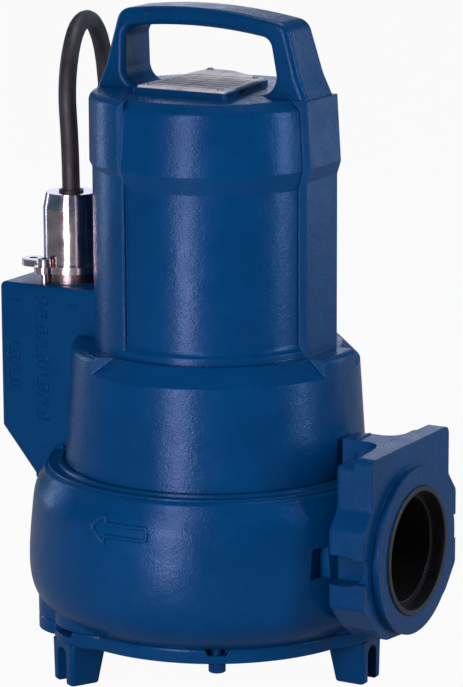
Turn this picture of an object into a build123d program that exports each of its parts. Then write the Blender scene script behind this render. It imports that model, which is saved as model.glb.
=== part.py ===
from build123d import *
from math import cos, radians, sin, tan
import os

os.makedirs("parts", exist_ok=True)

# Submersible wastewater pump, axis vertical, discharge towards +X, feet on Z = 0.

# Clearances
seat_gap = 0.2
thread_gap = 0.15
hole_gap = 0.5
casing_gap = 1.0

# Suction cover with its three feet
foot_height = 32.6
cover_thickness = 11.4
cover_radius = 126.5
cover_edge_radius = 2.5
cover_spigot_radius = 107.0
cover_spigot_height = 6.0
lug_radius = 45.0
lug_reach = 137.0
heel_angle = 222.0
heel_radius = 34.0
heel_reach = 140.0
suction_bore = 80.0
suction_lip = 10.0
foot_count = 3
foot_inset = 0.3
foot_top_depth = 31.5
foot_bottom_depth = 24.5
foot_top_width = 33.0
foot_bottom_width = 30.0
foot_slot_width = 14.0
foot_slot_depth = 20.0
foot_slot_top = 28.5
foot_side_radius = 4.0
foot_sole_radius = 2.0
pocket_width = 19.0
foot_pocket_width = 29.0
pocket_slant = 2.5
pocket_height = 5.5
pocket_depth = 10.0

# Cover screws
cover_screw_count = 6
cover_screw_circle_radius = 118.6
cover_screw_size = 8.0
cover_screw_head = 13.0
cover_screw_head_height = 8.0
cover_screw_reach = 22.0
cover_screw_key = 6.0
cover_screw_key_depth = 4.0

# Volute casing
volute_height = 115.2
volute_radius = 145.1
volute_belly_height = 47.0
volute_foot_radius = 126.5
volute_bilge_height = 15.0
volute_bilge_depth = 4.6
volute_upper_height = 83.0
volute_upper_depth = 3.0
volute_crown_height = 103.0
volute_crown_depth = 7.9
volute_brow_height = 109.8
volute_brow_depth = 11.6
volute_shoulder_depth = 17.3
volute_lug_height = 14.0
volute_wall = 8.5
volute_floor = 13.0
volute_roof = 9.2
volute_mouth_radius = 107.9
bead_inner_radius = 118.2
bead_width = 4.3
bead_height = 2.2
chamber_shoulder = 7.0
chamber_corner_radius = 9.0

# Discharge branch and claw flange
discharge_height = 108.5
discharge_bore = 80.0
bore_run_in = 20.0
discharge_boss_radius = 64.0
discharge_boss_reach = 29.4
branch_reach = 23.9
flange_thickness = 15.0
claw_thickness = 30.4
claw_top_drop = 5.5
flange_top = 191.0
flange_half_width = 64.0
claw_half_width = 77.0
claw_top = 138.0
claw_bottom = 80.0
claw_flare = 15.0
claw_rail_width = 21.0
claw_chin = [(61.0, -46.5), (40.0, -60.5)]
claw_corner_radius = 6.0
claw_chin_radius = 10.0
claw_slot_width = 23.0
claw_slot_depth = 17.5
claw_slot_reach = 27.0
claw_notch_width = 19.0
claw_notch_depth = 6.5
neck_wall = 9.5
web_half_width = 12.0
web_straight = 2.5
web_flare_half = 45.0
claw_back_radius = 4.0

# Discharge seal
seal_outer_radius = 49.4
seal_inner_radius = 45.2
seal_stand_out = 1.5
seal_groove_depth = 9.0

# Motor housing with handle and cable box in one casting
housing_spigot_depth = 9.0
joint_groove = 1.8
skirt_radius = 116.5
skirt_top_radius = 110.6
skirt_top = 252.5
skirt_corner_radius = 5.0
column_radius = 92.7
panel_radius = 89.2
panel_bottom = 261.0
panel_top = 380.0
panel_sill_radius = 5.0
panel_head_radius = 14.0
band_bottom = 390.0
band_radius = 94.8
band_front_radius = 92.9
band_front_draft = 2.3
band_top = 446.4
band_corner_radius = 7.0
dome_rise = 3.0
pilaster_half_width = 24.0
pilaster_reach = 93.0
pilaster_swell = 3.2
lobe_edge_x = -27.0
lobe_flare_x = -92.0
lobe_flare_y = -119.0
lobe_edge_y = -87.0

# Carrying handle, heights above the top of the band
handle_rise = 63.4
handle_shoulder_half = 72.5
handle_left_rise = 59.4
handle_right_rise = 54.8
handle_knee_half = 84.0
handle_knee_rise = 16.1
handle_knee_radius = 35.0
handle_corner_radius = 12.0
handle_edge_radius = 5.0
handle_foot_half_width = 22.5
grip_thickness = 13.8
grip_half_width = 19.5
handle_sink = 30.0
finger_gap_left_half = 67.0
finger_gap_left_rise = 46.2
finger_gap_right_half = 58.5
finger_gap_right_rise = 43.6
finger_gap_splay = 9.0
finger_gap_floor = 1.5
finger_gap_corner = 10.0
finger_gap_root_radius = 14.0
grip_edge_clear = 6.0
grip_groove_depth = 0.9
grip_groove_height = 7.0
grip_groove_start = -47.0
grip_groove_end = 32.0

# Cable box
box_half_width = 34.7
box_top = 288.0
box_end = 175.2
box_end_bottom = 172.5
box_toe_inset = 2.0
box_toe = 134.0
box_edge_radius = 4.0
box_root = 40.0
box_chin = [(3.0, 14.0), (6.0, 21.0)]

# Cable gland
gland_x = -129.0
gland_collar_radius = 24.0
gland_collar_height = 8.6
clamp_thickness = 5.4
clamp_radius = 28.0
clamp_ear_reach = 45.0
clamp_ear_radius = 10.0
clamp_ear_hole_reach = 36.0
clamp_ear_hole = 7.0
gland_radius = 22.1
gland_tip_radius = 19.7
gland_cone_height = 12.3
gland_top = 358.0
gland_screw_circle = 27.4
gland_screw_angle = 110.0
gland_screw_size = 6.0
gland_screw_head = 10.0
gland_screw_head_height = 6.0
clamp_lobe_radius = 8.0
gland_recess = 12.0
bushing_stand_out = 1.5
bushing_wall = 2.6

# Nameplate on its pad
pad_rise = 5.6
pad_margin = 2.5
plate_thickness = 1.2
plate_outline = [(-38.5, -49.0), (38.0, -50.5), (28.0, 28.5), (-16.0, 56.0), (-38.0, 58.0)]
plate_corner_radius = 2.0
rivet_places = [(-33.5, -43.0), (31.0, -44.0), (22.0, 26.0), (-33.0, 52.0)]
rivet_head = 5.0
rivet_head_height = 1.5
rivet_shank = 3.0

# Rotor end
seal_plate_radius = 105.0
seal_plate_thickness = 8.0
seal_plate_bore = 50.0
shaft_radius = 12.5
face_seal_radius = 20.0
impeller_radius = 82.0
impeller_disc = 6.0
impeller_gap = 3.0
impeller_hub_radius = 22.0
vane_count = 6
vane_height = 22.0
vane_thickness = 5.0
vane_sweep = 48.0
bolt_size = 10.0
bolt_head = 17.0
bolt_head_height = 7.0
bolt_reach = 18.0

# Power cable: route of its free stretch, then a round coil on the floor
cable_diameter = 14.0
cable_route = [
    (-129.0, 0.0, 346.0),
    (-129.0, 0.0, 392.0),
    (-131.7, -1.6, 443.1),
    (-146.7, 37.1, 484.1),
    (-165.2, 93.4, 484.1),
    (-178.0, 133.4, 443.1),
    (-170.5, 125.0, 332.0),
    (-162.5, 112.0, 234.0),
    (-156.0, 104.0, 137.0),
    (-155.0, 100.0, 48.0),
    (-168.4, 147.8, 7.0),
    (-183.9, 202.7, 7.0),
]
coil_center = (-92.5, 280.3)
coil_outer_radius = 116.0
coil_inner_radius = 53.0
coil_height = 70.0
core_diameter = 4.4
core_count = 4
core_length = 60.0

# Levels that follow from the sizes above
cover_top = foot_height + cover_thickness
volute_top = cover_top + volute_height
belly_level = cover_top + volute_belly_height
volute_shoulder_radius = volute_radius - volute_shoulder_depth
flange_front = volute_radius + branch_reach
flange_back = flange_front - claw_thickness
discharge_boss_face = volute_radius + discharge_boss_reach
box_toe_x = volute_radius - box_toe_inset
pad_top = band_top + pad_rise
handle_top = band_top + handle_rise
grip_underside = handle_top - grip_thickness
housing_bottom = volute_top - housing_spigot_depth
screw_angles = [360 / cover_screw_count * i for i in range(cover_screw_count)]
foot_angles = [360 / foot_count * i for i in range(foot_count)]
lug_center = lug_reach - lug_radius
heel_center = heel_reach - heel_radius
foot_face = lug_reach - foot_inset


def flat_plane(height):
    return Plane.XY.offset(height)


def turned_plane(angle, height):
    return Plane.XY.rotated((0, 0, angle)).offset(height)


def radial_plane(angle, radius, height):
    """Upright plane at a radius, its normal pointing away from the pump axis."""
    a = radians(angle)
    origin = (radius * cos(a), radius * sin(a), height)
    return Plane(origin=origin, x_dir=(-sin(a), cos(a), 0), z_dir=(cos(a), sin(a), 0))


# Suction cover: plate with spigot, inlet mouth, three slotted feet and six screw holes
with BuildPart() as base_ring:
    with BuildSketch(flat_plane(foot_height)):
        Circle(cover_radius)
        with PolarLocations(lug_center, foot_count):
            Circle(lug_radius)
        with PolarLocations(heel_center, 1, start_angle=heel_angle):
            Circle(heel_radius)
    extrude(amount=cover_thickness)
    fillet(base_ring.edges().group_by(Axis.Z)[-1], cover_edge_radius)
    with BuildSketch(flat_plane(cover_top)):
        Circle(cover_spigot_radius)
    extrude(amount=cover_spigot_height)
    for angle in foot_angles:
        with BuildSketch(turned_plane(angle, foot_height)):
            with Locations((foot_face - foot_top_depth / 2, 0)):
                RectangleRounded(foot_top_depth, foot_top_width, foot_side_radius)
        with BuildSketch(turned_plane(angle, 0)):
            with Locations((foot_face - foot_bottom_depth / 2, 0)):
                RectangleRounded(foot_bottom_depth, foot_bottom_width, foot_side_radius)
        loft()
    fillet(base_ring.edges().group_by(Axis.Z)[0], foot_sole_radius)
    for angle in foot_angles:
        with BuildSketch(radial_plane(angle, foot_face + 1, foot_slot_top - foot_slot_width / 2)):
            Circle(foot_slot_width / 2)
            with Locations((0, -foot_slot_top / 2)):
                Rectangle(foot_slot_width, foot_slot_top)
        extrude(amount=-foot_slot_depth - 1, mode=Mode.SUBTRACT)
    for angle in screw_angles:
        reach = lug_reach if angle in foot_angles else cover_radius
        width = foot_pocket_width if angle in foot_angles else pocket_width
        with BuildSketch(radial_plane(angle, reach + 1, cover_top)):
            with BuildLine():
                Polyline(
                    (-width / 2, 0),
                    (-width / 2 + pocket_slant, -pocket_height),
                    (width / 2 - pocket_slant, -pocket_height),
                    (width / 2, 0),
                    close=True,
                )
            make_face()
        extrude(amount=-pocket_depth - 1, mode=Mode.SUBTRACT)
    with BuildSketch(flat_plane(foot_height)):
        with PolarLocations(cover_screw_circle_radius, cover_screw_count):
            Circle(cover_screw_head / 2 + hole_gap)
    extrude(amount=-foot_height, mode=Mode.SUBTRACT)
    with Locations(flat_plane(cover_top + cover_spigot_height)):
        Hole(suction_bore / 2)
        with PolarLocations(cover_screw_circle_radius, cover_screw_count):
            Hole(cover_screw_size / 2 + hole_gap)
    mouth = base_ring.edges().filter_by(GeomType.CIRCLE).filter_by(lambda e: e.radius == suction_bore / 2)
    fillet(mouth.sort_by(Axis.Z)[0], suction_lip)
base_ring.part.label = "base_ring"


# Six cap screws that hold the cover to the casing
cover_screws = []
for number, angle in enumerate(screw_angles, 1):
    with BuildPart() as screw:
        spot = Plane(
            origin=(
                cover_screw_circle_radius * cos(radians(angle)),
                cover_screw_circle_radius * sin(radians(angle)),
                foot_height,
            ),
            z_dir=(0, 0, -1),
        )
        with BuildSketch(spot):
            Circle(cover_screw_head / 2)
        extrude(amount=cover_screw_head_height)
        rim = screw.edges().filter_by(GeomType.CIRCLE).sort_by(Axis.Z)[0]
        chamfer(rim, 0.6)
        with BuildSketch(spot):
            Circle(cover_screw_size / 2)
        extrude(amount=-cover_screw_reach)
        with BuildSketch(spot.offset(cover_screw_head_height)):
            RegularPolygon(cover_screw_key / 2, 6, major_radius=False)
        extrude(amount=-cover_screw_key_depth, mode=Mode.SUBTRACT)
    screw.part.label = f"cover_screw_{number}"
    cover_screws.append(screw.part)


# Volute casing: bellied bowl with discharge branch and claw flange, one casting
with BuildPart() as volute_casing:
    bead_outer_radius = bead_inner_radius + bead_width
    with BuildSketch(Plane.XZ):
        with BuildLine():
            Line((0, cover_top), (volute_foot_radius, cover_top))
            Spline(
                (volute_foot_radius, cover_top),
                (volute_radius - volute_bilge_depth, cover_top + volute_bilge_height),
                (volute_radius, belly_level),
                (volute_radius - volute_upper_depth, cover_top + volute_upper_height),
                (volute_radius - volute_crown_depth, cover_top + volute_crown_height),
                (volute_radius - volute_brow_depth, cover_top + volute_brow_height),
                (volute_shoulder_radius, volute_top),
                tangents=[(1, 0.7), (-1, 0.6)],
            )
            Polyline(
                (volute_shoulder_radius, volute_top),
                (bead_outer_radius, volute_top),
                (bead_outer_radius - bead_height / 2, volute_top + bead_height),
                (bead_inner_radius, volute_top + bead_height),
                (bead_inner_radius, volute_top),
                (0, volute_top),
                (0, cover_top),
            )
        make_face()
    revolve(axis=Axis.Z)
    with BuildSketch(flat_plane(cover_top)):
        with PolarLocations(lug_center, foot_count):
            Circle(lug_radius)
        with PolarLocations(heel_center, 1, start_angle=heel_angle):
            Circle(heel_radius)
    extrude(amount=volute_lug_height)

    # Claw flange, seen from the discharge side: head plate, then the two rails behind it
    front = Plane(origin=(flange_front, 0, 0), x_dir=(0, 1, 0), z_dir=(1, 0, 0))
    head = (front, flange_top, flange_thickness)
    rails = (front.offset(-flange_thickness), flange_top - claw_top_drop, claw_thickness - flange_thickness)
    for plane, top, depth in (head, rails):
        with BuildSketch(plane) as outline:
            with BuildLine():
                Polyline(
                    (0, top),
                    (flange_half_width, top),
                    (flange_half_width, claw_top + claw_flare),
                    (claw_half_width, claw_top),
                    (claw_half_width, claw_bottom),
                    (claw_chin[0][0], discharge_height + claw_chin[0][1]),
                    (claw_chin[1][0], discharge_height + claw_chin[1][1]),
                    (0, discharge_height - discharge_boss_radius),
                    close=True,
                )
            make_face()
            mirror(about=Plane.YZ)
            corners = outline.vertices().filter_by(lambda v: abs(v.X) > flange_half_width - 1)
            fillet(corners, claw_corner_radius)
            chin = outline.vertices().filter_by(lambda v: v.Y < discharge_height + claw_chin[0][1] + 1)
            fillet(chin.filter_by(lambda v: abs(v.X) > claw_chin[1][0] - 1), claw_chin_radius)
            if top < flange_top:
                with Locations((0, (top + discharge_height) / 2 + 1)):
                    hollow = 2 * (flange_half_width - claw_rail_width)
                    Rectangle(hollow, top - discharge_height + 2, mode=Mode.SUBTRACT)
        extrude(amount=-depth)
    back_edges = volute_casing.edges().filter_by_position(Axis.X, flange_back - 0.1, flange_back + 0.1)
    outer = back_edges.filter_by(lambda e: abs(e.center().Y) > flange_half_width - 3)
    fillet(outer, claw_back_radius)

    # Round boss round the bore, and the branch behind the flange
    bore_face = Plane(origin=(discharge_boss_face, 0, discharge_height), x_dir=(0, 1, 0), z_dir=(1, 0, 0))
    with BuildSketch(bore_face):
        Circle(discharge_boss_radius)
    extrude(amount=flange_front - flange_thickness - discharge_boss_face)
    with BuildSketch(Plane(origin=(flange_front - 1, 0, discharge_height), x_dir=(0, 1, 0), z_dir=(1, 0, 0))):
        Circle(discharge_bore / 2 + neck_wall)
    extrude(amount=cover_spigot_radius - flange_front)

    # Web from the casing wall to the head plate, flaring into it
    with BuildSketch(flat_plane(flange_top)) as web:
        plate_back = flange_front - flange_thickness
        with BuildLine():
            Line((0, web_half_width), (flange_back - web_straight, web_half_width))
            Spline(
                (flange_back - web_straight, web_half_width),
                (plate_back, web_flare_half),
                tangents=[(1, 0), (0.1, 1)],
            )
            Polyline(
                (plate_back, web_flare_half),
                (plate_back + 1, web_flare_half),
                (plate_back + 1, 0),
                (0, 0),
                (0, web_half_width),
            )
        make_face()
        mirror(about=Plane.XZ)
        Circle(skirt_radius + casing_gap, mode=Mode.SUBTRACT)
    extrude(amount=discharge_height - flange_top)

    # Open slots in the claws, and a shallow notch in the front edge
    for side in (-1, 1):
        claw_side = Plane(
            origin=(0, side * (claw_half_width + 1), discharge_height),
            x_dir=(1, 0, 0),
            z_dir=(0, side, 0),
        )
        end_center = flange_back + claw_slot_reach - claw_slot_width / 2
        with BuildSketch(claw_side):
            with Locations((end_center - claw_thickness / 2, 0)):
                Rectangle(claw_thickness, claw_slot_width)
            with Locations((end_center, 0)):
                Circle(claw_slot_width / 2)
        extrude(amount=-claw_slot_depth - 1, mode=Mode.SUBTRACT)
        with BuildSketch(claw_side):
            with Locations((flange_front, 0)):
                Rectangle(claw_slot_width, claw_notch_width)
        extrude(amount=-claw_notch_depth - 1, mode=Mode.SUBTRACT)

    # Chamber, bore, seal seat and mouths
    chamber_radius = volute_radius - volute_wall
    with BuildSketch(Plane.XZ) as chamber:
        with BuildLine():
            Polyline(
                (0, cover_top),
                (cover_spigot_radius + seat_gap, cover_top),
                (cover_spigot_radius + seat_gap, cover_top + volute_floor),
                (chamber_radius - chamber_shoulder, cover_top + volute_floor + 3),
                (chamber_radius, belly_level - 12),
                (chamber_radius, belly_level + 12),
                (chamber_radius - chamber_shoulder, volute_top - volute_roof - 6),
                (volute_mouth_radius, volute_top - volute_roof),
                (volute_mouth_radius, volute_top + bead_height),
                (0, volute_top + bead_height),
                close=True,
            )
        make_face()
        outer = chamber.vertices().filter_by(lambda v: v.X > chamber_radius - chamber_shoulder - 1)
        fillet(outer, chamber_corner_radius)
    revolve(axis=Axis.Z, mode=Mode.SUBTRACT)
    with BuildSketch(bore_face):
        Circle(discharge_bore / 2)
    extrude(amount=-discharge_boss_face + cover_spigot_radius - bore_run_in, mode=Mode.SUBTRACT)
    with BuildSketch(bore_face):
        Circle(seal_outer_radius)
    extrude(amount=-seal_groove_depth, mode=Mode.SUBTRACT)
    with BuildSketch(flat_plane(cover_top)):
        with PolarLocations(cover_screw_circle_radius, cover_screw_count):
            Circle(cover_screw_size / 2 + thread_gap)
    extrude(amount=volute_floor - 1, mode=Mode.SUBTRACT)
volute_casing.part.label = "volute_casing"


# Rubber ring in the discharge face
with BuildPart() as discharge_seal:
    with BuildSketch(bore_face.offset(-seal_groove_depth)):
        Circle(seal_outer_radius)
        Circle(seal_inner_radius, mode=Mode.SUBTRACT)
    extrude(amount=seal_groove_depth + seal_stand_out)
    outer_lip = discharge_seal.edges().filter_by(GeomType.CIRCLE).group_by(Axis.X)[-1]
    fillet(outer_lip, 1.0)
discharge_seal.part.label = "discharge_seal"


# Cutter for the two recessed panels: scoop in the skirt below, drafted band front above
with BuildPart() as panel_cutter:
    clear_radius = skirt_radius + 4
    scoop_foot = panel_bottom - (clear_radius - panel_radius)
    front_top_radius = band_front_radius - band_front_draft
    with BuildSketch(Plane.XZ) as cutter_side:
        with BuildLine():
            Polyline(
                (panel_radius, panel_bottom),
                (panel_radius, panel_top),
                (band_front_radius, band_bottom + 4),
                (front_top_radius, band_top - band_corner_radius),
                (front_top_radius - 2 * band_corner_radius, band_top + band_corner_radius),
                (clear_radius, band_top + band_corner_radius),
                (clear_radius, scoop_foot),
                close=True,
            )
        make_face()
        inner = cutter_side.vertices().filter_by(lambda v: v.X < panel_radius + 0.1 and v.Y < band_bottom)
        fillet(inner.sort_by(Axis.Y)[0], panel_sill_radius)
        fillet(inner.sort_by(Axis.Y)[1], panel_head_radius)
        rim = cutter_side.vertices().filter_by(lambda v: abs(v.Y - band_top + band_corner_radius) < 0.1)
        fillet(rim, band_corner_radius)
    revolve(axis=Axis.Z)
    with BuildSketch(flat_plane(scoop_foot)):
        with BuildLine():
            Polyline(
                (lobe_edge_x, -pilaster_half_width),
                (clear_radius, -pilaster_half_width),
                (clear_radius, -clear_radius),
                (lobe_flare_x, -clear_radius),
                (lobe_flare_x, lobe_flare_y),
                (lobe_edge_x, lobe_edge_y),
                close=True,
            )
        make_face()
        mirror(about=Plane.XZ)
    extrude(amount=band_top + band_corner_radius - scoop_foot, mode=Mode.INTERSECT)


def strap_half_width(height):
    """Half width of the handle, which narrows evenly from the band to the grip."""
    narrowing = (handle_foot_half_width - grip_half_width) / handle_rise
    return handle_foot_half_width - narrowing * (height - band_top)


# Carrying handle, a strap over the dome in the plane of the discharge
with BuildPart() as handle:
    strap_foot = band_top - handle_sink
    strap_reach = band_radius - 2.5
    left_end = (-handle_shoulder_half, band_top + handle_left_rise)
    right_end = (handle_shoulder_half, band_top + handle_right_rise)
    with BuildSketch(Plane.XZ) as handle_side:
        with BuildLine():
            ThreePointArc(left_end, (0, handle_top), right_end)
            Polyline(
                right_end,
                (handle_knee_half, band_top + handle_knee_rise),
                (strap_reach, band_top - 2),
                (strap_reach, strap_foot),
                (-strap_reach, strap_foot),
                (-strap_reach, band_top - 2),
                (-handle_knee_half, band_top + handle_knee_rise),
                left_end,
            )
        make_face()
        shoulders = handle_side.vertices().filter_by(lambda v: v.Y > band_top + handle_right_rise - 1)
        fillet(shoulders, handle_corner_radius)
        knees = handle_side.vertices().filter_by(lambda v: abs(v.Y - band_top - handle_knee_rise) < 0.1)
        fillet(knees, handle_knee_radius)
        with BuildSketch(mode=Mode.SUBTRACT) as finger_gap:
            with BuildLine():
                gap_left = (-finger_gap_left_half, band_top + finger_gap_left_rise)
                gap_right = (finger_gap_right_half, band_top + finger_gap_right_rise)
                ThreePointArc(gap_left, (0, grip_underside), gap_right)
                Polyline(
                    gap_right,
                    (finger_gap_right_half + finger_gap_splay, band_top + finger_gap_floor),
                    (-finger_gap_left_half, band_top + finger_gap_floor),
                    gap_left,
                )
            make_face()
            fillet(finger_gap.vertices().group_by(Axis.Y)[0], finger_gap_root_radius)
            gap_head = finger_gap.vertices().filter_by(lambda v: v.Y > band_top + finger_gap_right_rise - 1)
            fillet(gap_head, finger_gap_corner)
    extrude(amount=pilaster_half_width, both=True)
    with BuildSketch(Plane.YZ):
        with BuildLine():
            above = handle_top + 5
            Polyline(
                (-strap_half_width(strap_foot), strap_foot),
                (-strap_half_width(above), above),
                (strap_half_width(above), above),
                (strap_half_width(strap_foot), strap_foot),
                close=True,
            )
        make_face()
    extrude(amount=band_radius, both=True, mode=Mode.INTERSECT)
    strap_sides = handle.faces().filter_by(lambda f: abs(f.normal_at().Y) > 0.9)
    rims = strap_sides.edges().filter_by(lambda e: e.center().Z > strap_foot + 1)
    fillet(rims, handle_edge_radius)
    with BuildSketch(Plane.XZ.offset(strap_half_width(handle_top - grip_thickness / 2) - grip_groove_depth)):
        with BuildLine():
            ThreePointArc(
                (left_end[0], left_end[1] - grip_thickness / 2),
                (0, handle_top - grip_thickness / 2),
                (right_end[0], right_end[1] - grip_thickness / 2),
            )
        trace(line_width=grip_groove_height)
        with Locations(((grip_groove_start + grip_groove_end) / 2, handle_top)):
            Rectangle(grip_groove_end - grip_groove_start, handle_rise, mode=Mode.INTERSECT)
    extrude(amount=grip_edge_clear, mode=Mode.SUBTRACT)


# Cable box on the side away from the discharge
with BuildPart() as cable_box:
    box_inner = gland_x + gland_collar_radius + box_root
    bead_clear_radius = bead_inner_radius + bead_width + casing_gap
    with BuildSketch(Plane.XZ) as box_side:
        with BuildLine():
            Polyline(
                (box_inner, box_top),
                (-box_end, box_top),
                (-box_end, box_end_bottom),
                (-box_toe_x, box_toe),
                *[(-box_toe_x + inward, box_toe + rise) for inward, rise in box_chin],
                (-volute_shoulder_radius - casing_gap, volute_top + casing_gap),
                (-bead_clear_radius, volute_top + casing_gap),
                (-bead_clear_radius, volute_top + bead_height + casing_gap),
                (box_inner, volute_top + bead_height + casing_gap),
                close=True,
            )
        make_face()
    extrude(amount=box_half_width, both=True)
    outside = cable_box.edges().filter_by(lambda e: e.center().X < box_inner - 1)
    seam_level = volute_top + bead_height + casing_gap
    outside = outside.filter_by(lambda e: e.center().Z > seam_level + 0.1 or e.center().X < -box_toe_x - 1)
    fillet(outside, box_edge_radius)


# Motor housing: skirt, column, band, dome, handle and cable box in one casting
with BuildPart() as motor_housing:
    with BuildSketch(Plane.XZ):
        with BuildLine():
            Polyline(
                (0, housing_bottom),
                (volute_mouth_radius - seat_gap, housing_bottom),
                (volute_mouth_radius - seat_gap, volute_top),
                (skirt_radius - joint_groove, volute_top),
                (skirt_radius, volute_top + joint_groove),
                (skirt_top_radius, skirt_top),
                (column_radius, skirt_top),
                (column_radius, band_bottom),
                (band_radius, band_bottom + 4),
                (band_radius, band_top),
                (0, band_top + dome_rise),
                close=True,
            )
        make_face()
    revolve(axis=Axis.Z)
    circles = motor_housing.edges().filter_by(GeomType.CIRCLE)
    rim = circles.filter_by_position(Axis.Z, band_top - 0.1, band_top + 0.1)
    fillet(rim, band_corner_radius)
    circles = motor_housing.edges().filter_by(GeomType.CIRCLE)
    ledge = circles.filter_by_position(Axis.Z, skirt_top - 0.1, skirt_top + 0.1)
    fillet(ledge.sort_by(SortBy.RADIUS)[-1], skirt_corner_radius)
    add(panel_cutter.part, mode=Mode.SUBTRACT)
    with BuildSketch(Plane.XZ):
        with BuildLine():
            Polyline(
                (panel_radius / 2, skirt_top - skirt_corner_radius),
                (pilaster_reach, skirt_top - skirt_corner_radius),
                (pilaster_reach, band_bottom - 4),
                (pilaster_reach + pilaster_swell, band_bottom + 6),
                (pilaster_reach, band_top),
                (panel_radius / 2, band_top),
                close=True,
            )
        make_face()
    extrude(amount=pilaster_half_width, both=True)
    add(handle.part)
    add(cable_box.part)
    with BuildSketch(flat_plane(box_top)):
        with Locations((gland_x, 0)):
            Circle(gland_collar_radius)
    extrude(amount=gland_collar_height)
    with BuildSketch(flat_plane(band_top - 3)):
        with BuildLine():
            Polyline(*plate_outline, close=True)
        make_face()
        offset(amount=pad_margin)
    extrude(amount=pad_rise + 3)
motor_housing.part.label = "motor_housing"


# Nameplate and its rivets
with BuildPart() as nameplate:
    with BuildSketch(flat_plane(pad_top)) as plate_face:
        with BuildLine():
            Polyline(*plate_outline, close=True)
        make_face()
        fillet(plate_face.vertices(), plate_corner_radius)
        with Locations(*rivet_places):
            Circle(rivet_shank / 2 + 0.2, mode=Mode.SUBTRACT)
    extrude(amount=plate_thickness)
nameplate.part.label = "nameplate"

rivets = []
for number, place in enumerate(rivet_places, 1):
    with BuildPart() as rivet:
        head_plane = Plane(origin=(place[0], place[1], pad_top + plate_thickness))
        with BuildSketch(head_plane):
            Circle(rivet_head / 2)
        extrude(amount=rivet_head_height)
        fillet(rivet.edges().sort_by(Axis.Z)[-1], rivet_head_height * 0.6)
        with BuildSketch(head_plane):
            Circle(rivet_shank / 2)
        extrude(amount=-plate_thickness)
    rivet.part.label = f"nameplate_rivet_{number}"
    rivets.append(rivet.part)


# Cable gland: clamp plate, body, rubber bushing and two cap screws
clamp_top = box_top + gland_collar_height + clamp_thickness
gland_plane = Plane(origin=(gland_x, 0, clamp_top))
with BuildPart() as gland_clamp:
    with BuildSketch(gland_plane) as clamp_face:
        Circle(clamp_radius)
        with PolarLocations(
            gland_screw_circle,
            2,
            start_angle=gland_screw_angle,
            angular_range=360 - 2 * gland_screw_angle,
            endpoint=True,
        ):
            Circle(clamp_lobe_radius)
        with BuildSketch() as ear:
            with Locations((-clamp_ear_reach + clamp_ear_radius, 0)):
                Circle(clamp_ear_radius)
            Circle(clamp_ear_radius)
            make_hull()
        with PolarLocations(
            gland_screw_circle,
            2,
            start_angle=gland_screw_angle,
            angular_range=360 - 2 * gland_screw_angle,
            endpoint=True,
        ):
            Circle(gland_screw_size / 2 + seat_gap, mode=Mode.SUBTRACT)
        with Locations((-clamp_ear_hole_reach, 0)):
            Circle(clamp_ear_hole / 2, mode=Mode.SUBTRACT)
    extrude(amount=-clamp_thickness)
gland_clamp.part.label = "gland_clamp"

with BuildPart() as gland_body:
    with BuildSketch(gland_plane):
        Circle(gland_radius)
    extrude(amount=gland_top - clamp_top - gland_cone_height)
    with BuildSketch(gland_plane.offset(gland_top - clamp_top - gland_cone_height)):
        Circle(gland_radius)
    with BuildSketch(gland_plane.offset(gland_top - clamp_top)):
        Circle(gland_tip_radius)
    loft()
    with BuildSketch(gland_plane.offset(gland_top - clamp_top)):
        Circle(cable_diameter / 2 + bushing_wall + seat_gap)
    extrude(amount=-gland_recess, mode=Mode.SUBTRACT)
gland_body.part.label = "gland_body"

with BuildPart() as gland_bushing:
    with BuildSketch(gland_plane.offset(gland_top - clamp_top - gland_recess)):
        Circle(cable_diameter / 2 + bushing_wall)
        Circle(cable_diameter / 2 + seat_gap, mode=Mode.SUBTRACT)
    extrude(amount=gland_recess + bushing_stand_out)
gland_bushing.part.label = "gland_bushing"

gland_screws = []
for side, angle in (("far", gland_screw_angle), ("near", -gland_screw_angle)):
    with BuildPart() as screw:
        spot = Plane(
            origin=(
                gland_x + gland_screw_circle * cos(radians(angle)),
                gland_screw_circle * sin(radians(angle)),
                clamp_top,
            )
        )
        with BuildSketch(spot):
            Circle(gland_screw_head / 2)
        extrude(amount=gland_screw_head_height)
        chamfer(screw.edges().sort_by(Axis.Z)[-1], 0.5)
        with BuildSketch(spot):
            Circle(gland_screw_size / 2)
        extrude(amount=-clamp_thickness - gland_collar_height)
        with BuildSketch(spot.offset(gland_screw_head_height)):
            RegularPolygon(2.5, 6, major_radius=False)
        extrude(amount=-3, mode=Mode.SUBTRACT)
    screw.part.label = f"gland_screw_{side}"
    gland_screws.append(screw.part)


# Wet end: seal plate, shaft end, face seal, vortex impeller and its bolt
with BuildPart() as seal_plate:
    with BuildSketch(flat_plane(housing_bottom)):
        Circle(seal_plate_radius)
        Circle(seal_plate_bore / 2, mode=Mode.SUBTRACT)
    extrude(amount=-seal_plate_thickness)
    chamfer(seal_plate.edges().group_by(Axis.Z)[0], 1.5)
seal_plate.part.label = "seal_plate"

impeller_top = housing_bottom - seal_plate_thickness - impeller_gap
impeller_bottom = impeller_top - impeller_disc - vane_height
shaft_end = impeller_bottom + bolt_head_height

with BuildPart() as shaft:
    with BuildSketch(flat_plane(housing_bottom)):
        Circle(shaft_radius)
    extrude(amount=shaft_end - housing_bottom)
    with BuildSketch(flat_plane(shaft_end)):
        Circle(bolt_size / 2 + thread_gap)
    extrude(amount=bolt_reach, mode=Mode.SUBTRACT)
    chamfer(shaft.edges().filter_by(GeomType.CIRCLE).sort_by(Axis.Z)[0:1], 0.5)
shaft.part.label = "shaft_end"

with BuildPart() as face_seal:
    with BuildSketch(flat_plane(housing_bottom)):
        Circle(face_seal_radius)
        Circle(shaft_radius + seat_gap, mode=Mode.SUBTRACT)
    extrude(amount=-(housing_bottom - impeller_top))
face_seal.part.label = "face_seal"

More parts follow.
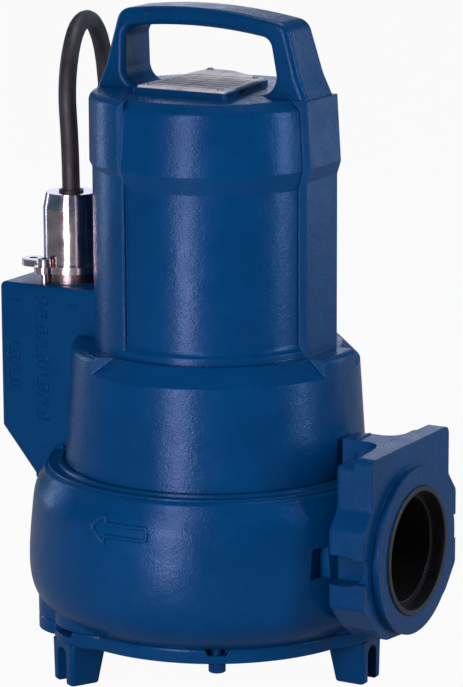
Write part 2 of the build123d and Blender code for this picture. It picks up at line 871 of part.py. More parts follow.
with BuildPart() as impeller:
    with BuildSketch(flat_plane(impeller_top)):
        Circle(impeller_radius)
    extrude(amount=-impeller_disc)
    with BuildSketch(flat_plane(impeller_top - impeller_disc)):
        Circle(impeller_hub_radius)
    extrude(amount=-vane_height, taper=4)
    for i in range(vane_count):
        with BuildSketch(turned_plane(360 / vane_count * i, impeller_top - impeller_disc)):
            with BuildLine():
                tip = (
                    (impeller_radius - 2) * cos(radians(vane_sweep)),
                    (impeller_radius - 2) * sin(radians(vane_sweep)),
                )
                TangentArc((impeller_hub_radius - 4, 0), tip, tangent=(1, 0.1))
            trace(line_width=vane_thickness)
        extrude(amount=-vane_height)
    with BuildSketch(flat_plane(impeller_top)):
        Circle(shaft_radius + seat_gap)
    extrude(amount=-impeller_disc - vane_height, mode=Mode.SUBTRACT)
impeller.part.label = "impeller"

with BuildPart() as impeller_bolt:
    with BuildSketch(flat_plane(shaft_end)):
        Circle(bolt_size / 2)
    extrude(amount=bolt_reach - 2)
    with BuildSketch(flat_plane(shaft_end)):
        RegularPolygon(bolt_head / 2, 6, major_radius=False)
    extrude(amount=-bolt_head_height)
impeller_bolt.part.label = "impeller_bolt"


# Power cable: free stretch, coil and the stripped cores at its end
corner_radii = []
for before, corner, after in zip(cable_route, cable_route[1:], cable_route[2:]):
    run_in = Vector(*corner) - Vector(*before)
    run_out = Vector(*after) - Vector(*corner)
    shorter = min(run_in.length, run_out.length)
    corner_radii.append(0.45 * shorter / tan(radians(run_in.get_angle(run_out) / 2)))
print("cable bend radii", [round(r, 1) for r in corner_radii])

with BuildPart() as cable_lead:
    with BuildLine() as cable_line:
        FilletPolyline(*cable_route, radius=corner_radii)
    cable_wire = cable_line.wire()
    with BuildSketch(Plane(origin=cable_wire @ 0, z_dir=cable_wire % 0)) as cable_section:
        Circle(cable_diameter / 2)
    sweep()
cable_lead.part.label = "cable_lead"
print("cable stretch", cable_wire.length, cable_lead.part.volume / cable_section.sketch.area)

with BuildPart() as cable_coil:
    with BuildSketch(Plane.XY):
        with Locations(coil_center):
            Circle(coil_outer_radius)
            Circle(coil_inner_radius, mode=Mode.SUBTRACT)
    extrude(amount=coil_height)
    fillet(cable_coil.edges().filter_by(GeomType.CIRCLE), cable_diameter / 2)
    add(cable_lead.part, mode=Mode.SUBTRACT)
cable_coil.part.label = "cable_coil"

core_plane = Plane(
    origin=(
        coil_center[0] - core_length / 2,
        coil_center[1] - (coil_outer_radius + coil_inner_radius) / 2,
        coil_height + core_diameter / 2,
    ),
    x_dir=(0, 1, 0),
    z_dir=(1, 0, 0),
)
with BuildPart() as cable_cores:
    with BuildSketch(core_plane):
        with GridLocations(core_diameter * 0.98, 1, core_count, 1):
            Circle(core_diameter / 2)
    extrude(amount=core_length)
cable_cores.part.label = "cable_cores"


finished = [
    base_ring.part,
    volute_casing.part,
    discharge_seal.part,
    motor_housing.part,
    nameplate.part,
    gland_clamp.part,
    gland_body.part,
    gland_bushing.part,
    seal_plate.part,
    shaft.part,
    face_seal.part,
    impeller.part,
    impeller_bolt.part,
    cable_lead.part,
    cable_coil.part,
    cable_cores.part,
    *cover_screws,
    *rivets,
    *gland_screws,
]
for piece in finished:
    export_step(piece, f"parts/{piece.label}.step")
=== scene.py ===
from math import cos, pi, radians, sin

import bpy
from mathutils import Matrix, Vector


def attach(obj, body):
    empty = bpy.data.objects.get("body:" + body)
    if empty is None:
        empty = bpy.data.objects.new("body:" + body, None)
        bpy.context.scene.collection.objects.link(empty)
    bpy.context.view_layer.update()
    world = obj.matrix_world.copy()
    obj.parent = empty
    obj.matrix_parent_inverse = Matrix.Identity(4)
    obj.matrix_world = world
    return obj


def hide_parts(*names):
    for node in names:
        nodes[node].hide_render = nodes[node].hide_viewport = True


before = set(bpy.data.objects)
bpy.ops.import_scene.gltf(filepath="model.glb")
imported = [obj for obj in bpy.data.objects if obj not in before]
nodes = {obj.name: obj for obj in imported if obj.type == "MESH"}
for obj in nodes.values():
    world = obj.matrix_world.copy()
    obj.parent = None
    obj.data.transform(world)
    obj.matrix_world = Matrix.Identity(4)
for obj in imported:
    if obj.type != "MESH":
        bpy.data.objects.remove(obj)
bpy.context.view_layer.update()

scene = bpy.context.scene


# Camera at the photograph's viewing angle

CAMERA_PLACE = Vector((1.2542, -2.1723, 0.7998))
CAMERA_LENS = 175.01
SENSOR_WIDTH = 36.0
CAMERA_YAW = radians(0.285)
CAMERA_PITCH = radians(12.37)
CAMERA_ROLL = radians(-0.266)
VIEW_AZIMUTH = radians(30.0)


def aim_camera():
    """The camera looks almost along its bearing, turned down by the pitch and tilted by the roll."""
    data = bpy.data.cameras.new("photo camera")
    data.sensor_width = SENSOR_WIDTH
    data.sensor_fit = "AUTO"
    data.lens = CAMERA_LENS
    data.clip_end = 50.0
    camera = bpy.data.objects.new("photo camera", data)
    scene.collection.objects.link(camera)
    across = Vector((cos(VIEW_AZIMUTH), sin(VIEW_AZIMUTH), 0.0))
    away = Vector((-sin(VIEW_AZIMUTH), cos(VIEW_AZIMUTH), 0.0))
    level = across * sin(CAMERA_YAW) + away * cos(CAMERA_YAW)
    forward = level * cos(CAMERA_PITCH) - Vector((0.0, 0.0, sin(CAMERA_PITCH)))
    right = across * cos(CAMERA_YAW) - away * sin(CAMERA_YAW)
    up = right.cross(forward)
    tilted_right = right * cos(CAMERA_ROLL) + up * sin(CAMERA_ROLL)
    tilted_up = up * cos(CAMERA_ROLL) - right * sin(CAMERA_ROLL)
    turn = Matrix((tilted_right, tilted_up, -forward)).transposed()
    camera.matrix_world = Matrix.Translation(CAMERA_PLACE) @ turn.to_4x4()
    scene.camera = camera


aim_camera()


# Material helpers

def new_material(name):
    """A node material with only its output; gives the material, its tree and the output node."""
    material = bpy.data.materials.new(name)
    material.use_nodes = True
    tree = material.node_tree
    tree.nodes.clear()
    return material, tree, tree.nodes.new("ShaderNodeOutputMaterial")


def object_points(tree, stretch=(1.0, 1.0, 1.0)):
    """Object coordinates, in metres times the stretch."""
    where = tree.nodes.new("ShaderNodeTexCoord")
    mapping = tree.nodes.new("ShaderNodeMapping")
    mapping.inputs["Scale"].default_value = stretch
    tree.links.new(where.outputs["Object"], mapping.inputs["Vector"])
    return mapping.outputs["Vector"]


def noise(tree, points, scale, detail=3.0, roughness=0.5):
    texture = tree.nodes.new("ShaderNodeTexNoise")
    texture.inputs["Scale"].default_value = scale
    texture.inputs["Detail"].default_value = detail
    texture.inputs["Roughness"].default_value = roughness
    tree.links.new(points, texture.inputs["Vector"])
    return texture.outputs["Fac"]


def ramp(tree, value, stops):
    """A colour ramp through (position, colour) stops."""
    node = tree.nodes.new("ShaderNodeValToRGB")
    band = node.color_ramp
    while len(band.elements) < len(stops):
        band.elements.new(1.0)
    for element, (position, colour) in zip(band.elements, stops):
        element.position = position
        element.color = (*colour, 1.0)
    tree.links.new(value, node.inputs["Fac"])
    return node.outputs["Color"]


def spread(tree, value, low, high, start=0.3, end=0.7):
    """Maps a noise value from its usual start and end to low and high."""
    node = tree.nodes.new("ShaderNodeMapRange")
    node.inputs["From Min"].default_value = start
    node.inputs["From Max"].default_value = end
    node.inputs["To Min"].default_value = low
    node.inputs["To Max"].default_value = high
    tree.links.new(value, node.inputs["Value"])
    return node.outputs["Result"]


def combine(tree, operation, first, second):
    """A Math node on two values, each a socket or a number."""
    node = tree.nodes.new("ShaderNodeMath")
    node.operation = operation
    for index, value in enumerate((first, second)):
        if isinstance(value, bpy.types.NodeSocket):
            tree.links.new(value, node.inputs[index])
        else:
            node.inputs[index].default_value = value
    return node.outputs[0]


def blend_colours(tree, share, first, second):
    """A mix of two colours, each a socket or three numbers."""
    node = tree.nodes.new("ShaderNodeMix")
    node.data_type = "RGBA"
    tree.links.new(share, node.inputs["Factor"])
    sockets = [s for s in node.inputs if s.type == "RGBA"]
    for socket, value in zip(sockets, (first, second)):
        if isinstance(value, bpy.types.NodeSocket):
            tree.links.new(value, socket)
        else:
            socket.default_value = (*value, 1.0)
    return next(s for s in node.outputs if s.type == "RGBA")


def bump(tree, height, distance, strength=1.0, under=None):
    node = tree.nodes.new("ShaderNodeBump")
    node.inputs["Strength"].default_value = strength
    node.inputs["Distance"].default_value = distance
    tree.links.new(height, node.inputs["Height"])
    if under is not None:
        tree.links.new(under, node.inputs["Normal"])
    return node.outputs["Normal"]


def surface(tree, output, **sockets):
    """A Principled shader; each socket gets a number, a colour or a link."""
    shader = tree.nodes.new("ShaderNodeBsdfPrincipled")
    for key, value in sockets.items():
        socket = shader.inputs[key.replace("_", " ")]
        if isinstance(value, bpy.types.NodeSocket):
            tree.links.new(value, socket)
        elif isinstance(value, tuple):
            socket.default_value = (*value, 1.0)
        else:
            socket.default_value = value
    tree.links.new(shader.outputs["BSDF"], output.inputs["Surface"])


# Enamel, metals and rubber

DISCHARGE_HEIGHT = 0.1085
SEAL_GROOVE_RADIUS = 0.0495
BORE_START = 0.09
SPIGOT_X = -0.129
SPIGOT_RADIUS = 0.0248
SPIGOT_START = 0.2885
SPIGOT_END = 0.2972
# Dark brown of the iron inside the discharge bore, made darker still as painted shade of the hole
BORE_IRON_AND_SHADE = (0.022, 0.014, 0.011)
MACHINED_IRON = (0.20, 0.15, 0.14)
EDGE_ROUNDING = 0.0014
ENAMEL_SHINE = 0.28
ENAMEL_TINT = (0.38, 0.50, 0.80)
# Scale, detail and roughness of the noise, then depth and strength of the bump
CAST_GRAIN = [
    (640.0, 2.0, 0.4, 0.0003, 0.48),
    (190.0, 3.0, 0.5, 0.0006, 0.24),
    (30.0, 3.0, 0.5, 0.0020, 0.22),
]


def place_parts(tree):
    """The x, y and z of a place on the part, as three sockets."""
    place = tree.nodes.new("ShaderNodeSeparateXYZ")
    tree.links.new(object_points(tree), place.inputs["Vector"])
    return place.outputs["X"], place.outputs["Y"], place.outputs["Z"]


def within(tree, first, second, radius):
    """1 where two measures from an axis lie within a radius of it, 0 elsewhere."""
    reach = combine(
        tree, "ADD",
        combine(tree, "MULTIPLY", first, first),
        combine(tree, "MULTIPLY", second, second),
    )
    return combine(tree, "LESS_THAN", reach, radius ** 2)


def inside_bore(tree):
    """1 on the wall of the discharge bore and inside its seal, where dark iron with painted shade is
    laid; 0 elsewhere.
    """
    x, y, z = place_parts(tree)
    near_axis = within(tree, y, combine(tree, "SUBTRACT", z, DISCHARGE_HEIGHT), SEAL_GROOVE_RADIUS)
    return combine(tree, "MULTIPLY", near_axis, combine(tree, "GREATER_THAN", x, BORE_START))


def bare_spigot(tree):
    """1 on the machined spigot that the gland clamp sits on, 0 elsewhere."""
    x, y, z = place_parts(tree)
    near_axis = within(tree, combine(tree, "SUBTRACT", x, SPIGOT_X), y, SPIGOT_RADIUS)
    above_box = combine(tree, "GREATER_THAN", z, SPIGOT_START)
    below_top = combine(tree, "LESS_THAN", z, SPIGOT_END)
    return combine(tree, "MULTIPLY", near_axis, combine(tree, "MULTIPLY", above_box, below_top))


def cast_enamel(name, deep, light, grain=1.0):
    """Thick glossy enamel over a sand casting: fine peel, flow marks, sandy waves and dull patches; the
    discharge bore is painted dark brown iron with painted shade.
    """
    material, tree, output = new_material(name)
    points = object_points(tree)
    tone = ramp(tree, noise(tree, points, 14.0, 5.0, 0.65), [(0.3, deep), (0.75, light)])
    # Inside the bore the enamel gives way to dark brown iron with painted shade over it
    stain = blend_colours(tree, inside_bore(tree), tone, BORE_IRON_AND_SHADE)
    machined = bare_spigot(tree)
    rounded = tree.nodes.new("ShaderNodeBevel")
    rounded.samples = 6
    rounded.inputs["Radius"].default_value = EDGE_ROUNDING
    normal = rounded.outputs["Normal"]
    for scale, detail, roughness, depth, strength in CAST_GRAIN:
        texture = noise(tree, points, scale, detail, roughness)
        normal = bump(tree, texture, depth * grain, strength, normal)
    surface(
        tree, output, Base_Color=blend_colours(tree, machined, stain, MACHINED_IRON),
        Metallic=machined, Normal=normal, Specular_IOR_Level=ENAMEL_SHINE, Specular_Tint=ENAMEL_TINT,
        Roughness=spread(tree, noise(tree, points, 55.0, 4.0), 0.22, 0.32),
    )
    return material


def turned_steel(name, colour, rough):
    """Stainless steel with the fine rings that a lathe leaves."""
    material, tree, output = new_material(name)
    rings = noise(tree, object_points(tree, (6.0, 6.0, 1400.0)), 1.0, 2.0)
    smudge = noise(tree, object_points(tree), 90.0, 4.0)
    tint = tuple(c * 0.72 for c in colour)
    surface(
        tree, output, Base_Color=ramp(tree, smudge, [(0.35, tint), (0.6, colour)]), Metallic=1.0,
        Roughness=spread(tree, smudge, rough * 0.7, rough * 1.6),
        Normal=bump(tree, rings, 0.0002, 0.30),
    )
    return material


def moulded_rubber(name, dark, light, rough, grain=0.0004, scale=420.0):
    """A dull skin, as of rubber, insulation or wet iron, with fine grain and lighter rubbed places."""
    material, tree, output = new_material(name)
    points = object_points(tree)
    surface(
        tree, output, Roughness=spread(tree, noise(tree, points, 70.0), rough * 0.85, rough * 1.2),
        Base_Color=ramp(tree, noise(tree, points, 45.0, 4.0, 0.6), [(0.35, dark), (0.75, light)]),
        Normal=bump(tree, noise(tree, points, scale, 2.0), grain, 0.4),
    )
    return material


def weathered_plate(name):
    """Dull stamped metal, beige with greyer stains and light scratches along its length."""
    material, tree, output = new_material(name)
    points = object_points(tree)
    stain = ramp(
        tree, noise(tree, points, 70.0, 6.0, 0.7),
        [(0.28, (0.22, 0.19, 0.18)), (0.45, (0.66, 0.58, 0.54)), (0.7, (0.90, 0.80, 0.745))],
    )
    scratches = noise(tree, object_points(tree, (90.0, 1100.0, 90.0)), 1.0, 3.0)
    surface(
        tree, output, Base_Color=stain, Metallic=0.35, Normal=bump(tree, scratches, 0.0003, 0.5),
        Roughness=spread(tree, noise(tree, points, 120.0, 4.0), 0.38, 0.6),
    )
    return material


enamel = cast_enamel("Blue enamel on cast iron", (0.0, 0.031, 0.094), (0.0, 0.043, 0.125))
screw_enamel = cast_enamel("Blue enamel on screw heads", (0.0, 0.027, 0.095), (0.0, 0.040, 0.130), 0.4)
gland_steel = turned_steel("Turned stainless gland", (0.70, 0.575, 0.54), 0.13)
screw_steel = turned_steel("Stainless screws", (0.42, 0.36, 0.345), 0.22)
rivet_steel = turned_steel("Dull rivets", (0.33, 0.28, 0.28), 0.38)
copper = turned_steel("Bare copper strands", (0.80, 0.38, 0.22), 0.30)
seal_rubber = moulded_rubber("Black seal rubber", (0.008, 0.006, 0.006), (0.020, 0.014, 0.012), 0.5)
sheath_rubber = moulded_rubber("Black cable sheath", (0.011, 0.008, 0.009), (0.024, 0.019, 0.020), 0.55)
plate_metal = weathered_plate("Weathered nameplate")
wetted_iron = moulded_rubber(
    "Dark wetted iron", (0.022, 0.015, 0.012), (0.060, 0.040, 0.030), 0.6, 0.0009, 160.0
)


def core_insulation(name, colour):
    paler = tuple(min(1.0, c * 1.25) for c in colour)
    return moulded_rubber(name, colour, paler, 0.42, 0.0002)


brown_core = core_insulation("Brown core insulation", (0.14, 0.055, 0.025))
black_core = core_insulation("Black core insulation", (0.014, 0.014, 0.015))
grey_core = core_insulation("Grey core insulation", (0.27, 0.27, 0.27))
green_core = core_insulation("Green core insulation", (0.10, 0.32, 0.06))


def dress(material, *names):
    """Gives CAD nodes a material in every slot."""
    for name in names:
        mesh = nodes[name].data
        if not mesh.materials:
            mesh.materials.append(material)
        for index in range(len(mesh.materials)):
            mesh.materials[index] = material


dress(enamel, "base_ring", "volute_casing", "motor_housing")
dress(screw_enamel, *[f"cover_screw_{i}" for i in range(1, 7)])
dress(gland_steel, "gland_body", "gland_clamp", "shaft_end", "face_seal")
dress(screw_steel, "gland_screw_far", "gland_screw_near", "impeller_bolt")
dress(rivet_steel, *[f"nameplate_rivet_{i}" for i in range(1, 5)])
dress(seal_rubber, "discharge_seal", "gland_bushing")
dress(plate_metal, "nameplate")
dress(wetted_iron, "impeller", "seal_plate")


# Power cable, its coil and the stripped cores

CABLE_DIAMETER = 0.014
CABLE_ROUTE = [
    (-0.1290, 0.0, 0.3460),
    (-0.1290, 0.0, 0.3920),
    (-0.1317, -0.0016, 0.4431),
    (-0.1467, 0.0371, 0.4841),
    (-0.1652, 0.0934, 0.4841),
    (-0.1780, 0.1334, 0.4431),
    (-0.1705, 0.1250, 0.3320),
    (-0.1625, 0.1120, 0.2340),
    (-0.1560, 0.1040, 0.1370),
    (-0.1550, 0.1000, 0.0480),
    (-0.1684, 0.1478, 0.0070),
    (-0.1839, 0.2027, 0.0070),
]
COIL_CENTER = Vector((-0.0925, 0.2803, 0.0))
COIL_START = radians(195.7)
COIL_LAYERS = 5
LAYER_TURNS = 3.5
POINTS_A_TURN = 16
OUTER_TURN = 0.109
INNER_TURN = 0.060
CORE_START = Vector((-0.0625, 0.1958, 0.0722))
CORE_TIP_X = -0.1215
CORE_DIAMETER = 0.0043
SHEATH_END_HEIGHT = 0.0772
SHEATH_END_LENGTH = 0.024
LAYER_RISES = (0.25, 0.5, 0.75)
TOP_TURN_START = radians(318.0)
TOP_TURN_END = radians(200.0)
BARE_LENGTH = 0.009
# Reach along x from the core's start, share of its place in the fan, and height
CORE_BENDS = [
    (0.004, 0.45, SHEATH_END_HEIGHT),
    (-0.006, 0.55, SHEATH_END_HEIGHT - 0.001),
    (-0.016, 1.0, CORE_START.z + 0.0005),
    (-0.036, 1.0, CORE_START.z),
]


def coil_points():
    """Flat layers of turns, wound in, out, in, out and in, then one last turn over the top."""
    step = -2 * pi / POINTS_A_TURN
    points_a_layer = round(LAYER_TURNS * POINTS_A_TURN)
    spacing = (OUTER_TURN - INNER_TURN) / points_a_layer
    angle = COIL_START + step / 2
    radius = OUTER_TURN
    height = CABLE_DIAMETER / 2
    turns = []
    for layer in range(COIL_LAYERS):
        change = -spacing if layer % 2 == 0 else spacing
        for _ in range(points_a_layer):
            turns.append((angle, radius, height))
            angle += step
            radius += change
        for rise in LAYER_RISES:
            turns.append((angle, radius, height + rise * CABLE_DIAMETER))
            angle += step
        height += CABLE_DIAMETER
    height = SHEATH_END_HEIGHT
    while not TOP_TURN_END <= angle % (2 * pi) <= TOP_TURN_START:
        turns.append((angle, radius, height))
        angle += step
        radius += spacing * 2.0
    reach = 1 / cos(step / 2)
    return [
        (COIL_CENTER.x + r * reach * cos(a), COIL_CENTER.y + r * reach * sin(a), z)
        for a, r, z in turns
    ]


def last_straight():
    """The end of the sheath lies straight on the coil, where the cores come out."""
    return [
        (CORE_START.x + SHEATH_END_LENGTH, CORE_START.y, SHEATH_END_HEIGHT),
        (CORE_START.x, CORE_START.y, SHEATH_END_HEIGHT),
    ]


def spline_tube(name, points, radius, material, rim_steps=5):
    """A round tube whose centre line is a smooth NURBS spline through its route."""
    curve = bpy.data.curves.new(name, "CURVE")
    curve.dimensions = "3D"
    curve.bevel_depth = radius
    curve.bevel_resolution = rim_steps
    curve.resolution_u = 5
    curve.use_fill_caps = True
    spline = curve.splines.new("NURBS")
    spline.points.add(len(points) - 1)
    for point, place in zip(spline.points, points):
        point.co = (*place, 1.0)
    spline.order_u = 3
    spline.use_endpoint_u = True
    tube = bpy.data.objects.new(name, curve)
    scene.collection.objects.link(tube)
    curve.materials.append(material)
    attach(tube, "root")
    return tube


def stripped_core(index, material):
    """One insulated core that fans out of the sheath, with its bare strands at the tip."""
    aside = (index - 1.5) * CORE_DIAMETER
    bare_from = CORE_TIP_X + BARE_LENGTH
    x, y, z = CORE_START
    insulated = [(x + along, y + aside * share, height) for along, share, height in CORE_BENDS]
    insulated.append((bare_from, y + aside, z))
    bare = [(bare_from + 0.002, y + aside, z), (CORE_TIP_X, y + aside, z)]
    core = spline_tube(f"core_{index + 1}", insulated, CORE_DIAMETER / 2, material, 3)
    strands = spline_tube(f"core_tip_{index + 1}", bare, CORE_DIAMETER * 0.33, copper, 3)
    return [core, strands]


power_cable = spline_tube(
    "power_cable", CABLE_ROUTE + coil_points() + last_straight(), CABLE_DIAMETER / 2, sheath_rubber
)
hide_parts("cable_lead", "cable_coil")
cores = []
for index, core_material in enumerate((brown_core, black_core, grey_core, green_core)):
    cores += stripped_core(index, core_material)
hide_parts("cable_cores")


# Relief: rotation arrow, foundry marks, fillets, edge and web on the castings, rules on the plate

RELIEF_INPUTS = [
    ("Lines", "NodeSocketGeometry"),
    ("Part", "NodeSocketObject"),
    ("Toward", "NodeSocketVector"),
    ("Line Radius", "NodeSocketFloat"),
    ("Step", "NodeSocketFloat"),
    ("Finish", "NodeSocketMaterial"),
]
SECTION_SIDES = 8
DOWN = Vector((0.0, 0.0, -1.0))


def raised_line_tree():
    """Lays line segments on a part along one direction and gives them a round section."""
    tree = bpy.data.node_groups.new("Raised line on a part", "GeometryNodeTree")
    for socket_name, kind in RELIEF_INPUTS:
        tree.interface.new_socket(socket_name, in_out="INPUT", socket_type=kind)
    tree.interface.new_socket("Relief", in_out="OUTPUT", socket_type="NodeSocketGeometry")
    start = tree.nodes.new("NodeGroupInput")
    end = tree.nodes.new("NodeGroupOutput")

    def node(kind, **settings):
        made = tree.nodes.new(kind)
        for key, value in settings.items():
            setattr(made, key, value)
        return made

    def link(source, socket):
        tree.links.new(source, socket)

    to_curve = node("GeometryNodeMeshToCurve")
    link(start.outputs["Lines"], to_curve.inputs["Mesh"])
    even = node("GeometryNodeResampleCurve", mode="LENGTH")
    link(to_curve.outputs["Curve"], even.inputs["Curve"])
    link(start.outputs["Step"], even.inputs["Length"])
    part = node("GeometryNodeObjectInfo", transform_space="ORIGINAL")
    link(start.outputs["Part"], part.inputs["Object"])
    cast_ray = node("GeometryNodeRaycast")
    link(part.outputs["Geometry"], cast_ray.inputs["Target Geometry"])
    link(start.outputs["Toward"], cast_ray.inputs["Ray Direction"])
    cast_ray.inputs["Ray Length"].default_value = 1.0
    lay = node("GeometryNodeSetPosition")
    link(even.outputs["Curve"], lay.inputs["Geometry"])
    link(cast_ray.outputs["Is Hit"], lay.inputs["Selection"])
    link(cast_ray.outputs["Hit Position"], lay.inputs["Position"])
    section = node("GeometryNodeCurvePrimitiveCircle")
    section.inputs["Resolution"].default_value = SECTION_SIDES
    link(start.outputs["Line Radius"], section.inputs["Radius"])
    body = node("GeometryNodeCurveToMesh")
    link(lay.outputs["Geometry"], body.inputs["Curve"])
    link(section.outputs["Curve"], body.inputs["Profile Curve"])
    body.inputs["Fill Caps"].default_value = True
    smooth = node("GeometryNodeSetShadeSmooth")
    link(body.outputs["Mesh"], smooth.inputs["Geometry"])
    real = node("GeometryNodeRealizeInstances")
    link(smooth.outputs["Geometry"], real.inputs["Geometry"])
    finish = node("GeometryNodeSetMaterial")
    link(real.outputs["Geometry"], finish.inputs["Geometry"])
    link(start.outputs["Finish"], finish.inputs["Material"])
    link(finish.outputs["Geometry"], end.inputs["Relief"])
    return tree


relief_tree = raised_line_tree()


def raised_lines(name, lines, carrier, toward, radius, material=enamel):
    """Lines given as lists of points become one relief piece lying on the carrier node."""
    mesh = bpy.data.meshes.new(name)
    places = []
    edges = []
    for line in lines:
        edges += [(len(places) + i, len(places) + i + 1) for i in range(len(line) - 1)]
        places += line
    mesh.from_pydata(places, edges, [])
    drawn = bpy.data.objects.new(name + "_lines", mesh)
    scene.collection.objects.link(drawn)
    modifier = drawn.modifiers.new("Relief", "NODES")
    modifier.node_group = relief_tree
    values = {
        "Part": nodes[carrier], "Toward": tuple(toward), "Line Radius": radius,
        "Step": radius * 2.0, "Finish": material,
    }
    for item in relief_tree.interface.items_tree:
        if item.in_out == "INPUT" and item.name in values:
            modifier[item.identifier] = values[item.name]
    drawn.update_tag()
    bpy.context.view_layer.update()
    evaluated = drawn.evaluated_get(bpy.context.evaluated_depsgraph_get())
    finished = bpy.data.objects.new(name, bpy.data.meshes.new_from_object(evaluated))
    drawn.modifiers.remove(modifier)
    bpy.data.objects.remove(drawn)
    scene.collection.objects.link(finished)
    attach(finished, "root")
    return finished


ARROW_BEARING = radians(-91.3)
ARROW_HEIGHT = 0.1339
ARROW_LINE_RADIUS = 0.0017
CLEAR_OF_VOLUTE = 0.25
ARROW_OUTLINE = [
    (-0.0241, 0.0), (-0.0118, 0.0110), (-0.0118, 0.0045), (0.0241, 0.0045),
    (0.0241, -0.0045), (-0.0118, -0.0045), (-0.0118, -0.0110), (-0.0241, 0.0),
]


def rotation_arrow():
    """An outlined arrow, cast proud of the volute, that shows which way the impeller turns."""
    outward = Vector((cos(ARROW_BEARING), sin(ARROW_BEARING), 0.0))
    sideways = Vector((-outward.y, outward.x, 0.0))
    middle = outward * CLEAR_OF_VOLUTE + Vector((0.0, 0.0, ARROW_HEIGHT))
    outline = [tuple(middle + sideways * along + Vector((0.0, 0.0, up))) for along, up in ARROW_OUTLINE]
    raised_lines("rotation_arrow", [outline], "volute_casing", -outward, ARROW_LINE_RADIUS)


CLEAR_OF_BOX = -0.06
MARK_LINE_RADIUS = 0.0010
MARK_GAP = 0.2
MARK_HEIGHT = 0.6
# Middle in x, bottom, top, half width and count of marks
MARK_ROWS = [
    (-0.1365, 0.180, 0.280, 0.0052, 13),
    (-0.1625, 0.204, 0.242, 0.0048, 5),
]
SINGLE_MARKS = [
    [(-0.1655, 0.2738), (-0.1580, 0.2746)],
    [(-0.1120, 0.2740), (-0.1040, 0.2752)],
]


def mark_row(middle, bottom, top, half_width, count):
    """An upright row of frames, angles and slanted bars that stand for nothing."""
    pitch = (top - bottom) / count
    left, right = middle - half_width, middle + half_width
    marks = []
    for index in range(count):
        low = bottom + pitch * (index + MARK_GAP)
        high = low + pitch * MARK_HEIGHT
        if index % 3 == 0:
            marks.append([(left, low), (right, low), (right, high), (left, high), (left, low)])
        elif index % 3 == 1:
            marks.append([(left, low), (left, high)])
            marks.append([(middle, high), (right, high)])
        else:
            marks.append([(left, high), (right, low)])
    return marks


def foundry_marks():
    """Plain cast marks on the side of the cable box, in two upright rows, and two single bars."""
    marks = [mark for row in MARK_ROWS for mark in mark_row(*row)] + SINGLE_MARKS
    lines = [[(x, CLEAR_OF_BOX, z) for x, z in mark] for mark in marks]
    raised_lines("foundry_marks", lines, "motor_housing", Vector((0.0, 1.0, 0.0)), MARK_LINE_RADIUS)


FILLET_SIDE = 0.0338
FILLET_ENDS = (-0.1400, -0.1165)
FILLET_STEPS = 12
FILLET_RADIUS = 0.0036
ABOVE_VOLUTE = 0.25


def box_fillets():
    """Cast fillets where the two sides of the cable box run down onto the volute."""
    start, end = FILLET_ENDS
    reaches = [start + (end - start) * i / FILLET_STEPS for i in range(FILLET_STEPS + 1)]
    lines = [[(x, side, ABOVE_VOLUTE) for x in reaches] for side in (-FILLET_SIDE, FILLET_SIDE)]
    raised_lines("box_fillets", lines, "volute_casing", DOWN, FILLET_RADIUS)


EDGE_RADIUS = 0.1288
EDGE_STEPS = 180
EDGE_LINE_RADIUS = 0.0013


def volute_edge():
    """The fine cast edge that runs round the top of the volute wall."""
    angles = [2 * pi * i / EDGE_STEPS for i in range(EDGE_STEPS + 1)]
    ring = [(EDGE_RADIUS * cos(a), EDGE_RADIUS * sin(a), ABOVE_VOLUTE) for a in angles]
    raised_lines("volute_edge", [ring], "volute_casing", DOWN, EDGE_LINE_RADIUS)


RULE_COUNT = 7
RULE_SPACING = 0.0100
RULE_SHORTENING = 0.0012
RULE_LEFT = -0.0330
RULE_RIGHT = 0.0300
RULE_FRONT = -0.0370
RULE_BACK = 0.0230
DIVIDER_X = -0.0050
DIVIDER_BACK = 0.0030
RULE_LINE_RADIUS = 0.00028
ABOVE_PLATE = 0.48


def plate_rules():
    """Fine rules stamped across the nameplate, whose fields are left bare."""
    rules = []
    for index in range(RULE_COUNT):
        y = RULE_FRONT + RULE_SPACING * index
        rules.append([(RULE_LEFT, y), (RULE_RIGHT - RULE_SHORTENING * index, y)])
    rules.append([(RULE_LEFT, RULE_FRONT), (RULE_LEFT, RULE_BACK)])
    rules.append([(DIVIDER_X, RULE_FRONT), (DIVIDER_X, DIVIDER_BACK)])
    lines = [[(x, y, ABOVE_PLATE) for x, y in rule] for rule in rules]
    raised_lines(
        "plate_rules", lines, "nameplate", DOWN, RULE_LINE_RADIUS, rivet_steel
    )


WEB_HALF_WIDTH = 0.0348
WEB_OUTLINE = [
    (-0.1434, 0.1344), (-0.1360, 0.1300), (-0.1190, 0.1570),
    (-0.1250, 0.1640), (-0.1400, 0.1590), (-0.1436, 0.1490),
]


def box_web():
    """The cast web that closes the cable box down onto the round of the volute."""
    count = len(WEB_OUTLINE)
    places = [(x, -WEB_HALF_WIDTH, z) for x, z in WEB_OUTLINE]
    places += [(x, WEB_HALF_WIDTH, z) for x, z in WEB_OUTLINE]
    faces = [tuple(range(count)), tuple(range(2 * count - 1, count - 1, -1))]
    for index in range(count):
        after = (index + 1) % count
        faces.append((index, index + count, after + count, after))
    mesh = bpy.data.meshes.new("box_web")
    mesh.from_pydata(places, [], faces)
    mesh.materials.append(enamel)
    web = bpy.data.objects.new("box_web", mesh)
    scene.collection.objects.link(web)
    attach(web, "root")


rotation_arrow()
foundry_marks()
box_fillets()
box_web()
volute_edge()
plate_rules()


# Floor, room and soft lights

FLOOR_IN_REFLECTIONS = 0.12
FLOOR_WHITENESS = 0.95
FLOOR_SIZE = 12.0
PAPER = (0.32, 0.32, 0.33)


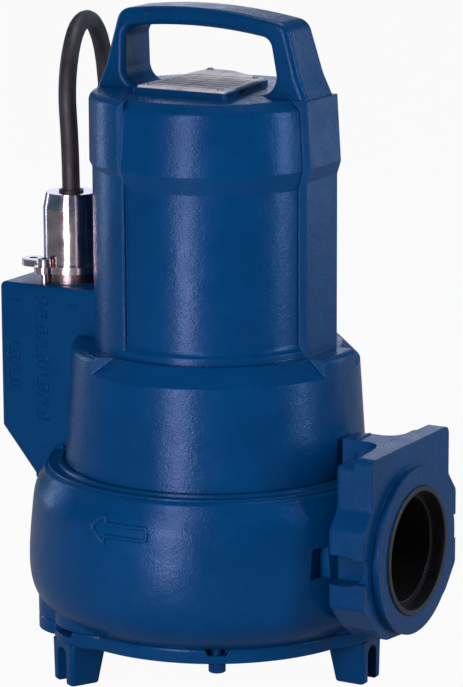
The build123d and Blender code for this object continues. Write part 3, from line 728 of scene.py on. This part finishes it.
def pale_floor():
    """A floor that is white to the camera, faint in reflections, and keeps the pump's shadow."""
    material, tree, output = new_material("Pale floor")
    paper = tree.nodes.new("ShaderNodeBsdfDiffuse")
    paper.inputs["Color"].default_value = (*PAPER, 1.0)
    glow = tree.nodes.new("ShaderNodeEmission")
    white = tree.nodes.new("ShaderNodeMixShader")
    white.inputs["Fac"].default_value = FLOOR_WHITENESS
    tree.links.new(paper.outputs["BSDF"], white.inputs[1])
    tree.links.new(glow.outputs["Emission"], white.inputs[2])
    path = tree.nodes.new("ShaderNodeLightPath")
    seen = combine(tree, "MAXIMUM", path.outputs["Is Camera Ray"], path.outputs["Is Transmission Ray"])
    mirrored = combine(tree, "MULTIPLY", path.outputs["Is Glossy Ray"], FLOOR_IN_REFLECTIONS)
    seen = combine(tree, "MAXIMUM", seen, mirrored)
    choice = tree.nodes.new("ShaderNodeMixShader")
    tree.links.new(seen, choice.inputs["Fac"])
    tree.links.new(paper.outputs["BSDF"], choice.inputs[1])
    tree.links.new(white.outputs["Shader"], choice.inputs[2])
    tree.links.new(choice.outputs["Shader"], output.inputs["Surface"])
    bpy.ops.mesh.primitive_plane_add(size=FLOOR_SIZE, location=(0.0, 0.0, 0.0))
    floor = bpy.context.object
    floor.name = "floor"
    floor.data.materials.append(material)


def studio_room(colour, strength):
    """White to the camera, and dim blue for the light that it gives."""
    world = bpy.data.worlds.new("studio")
    scene.world = world
    world.use_nodes = True
    tree = world.node_tree
    tree.nodes.clear()
    room = tree.nodes.new("ShaderNodeBackground")
    room.inputs["Color"].default_value = (*colour, 1.0)
    room.inputs["Strength"].default_value = strength
    white = tree.nodes.new("ShaderNodeBackground")
    path = tree.nodes.new("ShaderNodeLightPath")
    pick = tree.nodes.new("ShaderNodeMixShader")
    tree.links.new(path.outputs["Is Camera Ray"], pick.inputs["Fac"])
    tree.links.new(room.outputs["Background"], pick.inputs[1])
    tree.links.new(white.outputs["Background"], pick.inputs[2])
    output = tree.nodes.new("ShaderNodeOutputWorld")
    tree.links.new(pick.outputs["Shader"], output.inputs["Surface"])


def softbox(name, bearing, distance, height, size, energy, colour, aim=(0.0, 0.0, 0.25)):
    """A rectangular soft light, placed round the pump by its bearing from the camera's."""
    angle = VIEW_AZIMUTH + radians(bearing)
    light = bpy.data.lights.new(name, "AREA")
    light.shape = "RECTANGLE"
    light.size, light.size_y = size
    light.energy = energy
    light.color = colour
    lamp = bpy.data.objects.new(name, light)
    lamp.location = (distance * sin(angle), -distance * cos(angle), height)
    lamp.rotation_euler = (Vector(aim) - lamp.location).to_track_quat("-Z", "Y").to_euler()
    scene.collection.objects.link(lamp)


pale_floor()
studio_room((0.34, 0.64, 1.0), 0.21)
softbox("main softbox", -27.0, 1.15, 0.66, (0.34, 1.20), 13.8, (0.97, 0.86, 1.0))
softbox("low softbox", -27.0, 0.75, 0.14, (0.15, 0.22), 1.45, (1.0, 0.84, 1.0), (0.0, 0.0, 0.10))
softbox("right softbox", 68.0, 1.3, 0.6, (0.20, 1.1), 12.0, (0.62, 0.82, 1.0))
softbox("left rim", -125.0, 1.8, 0.45, (0.24, 1.2), 4.5, (0.55, 0.72, 1.0))
softbox("right rim", 115.0, 1.9, 0.6, (0.4, 1.4), 4.0, (0.60, 0.78, 1.0))
softbox("back softbox", 176.0, 2.2, 0.75, (1.5, 0.5), 3.0, (0.80, 0.82, 1.0))
softbox("top softbox", 160.0, 0.7, 2.2, (0.9, 0.9), 13.0, (1.0, 0.97, 0.97))

scene.view_settings.view_transform = "Standard"
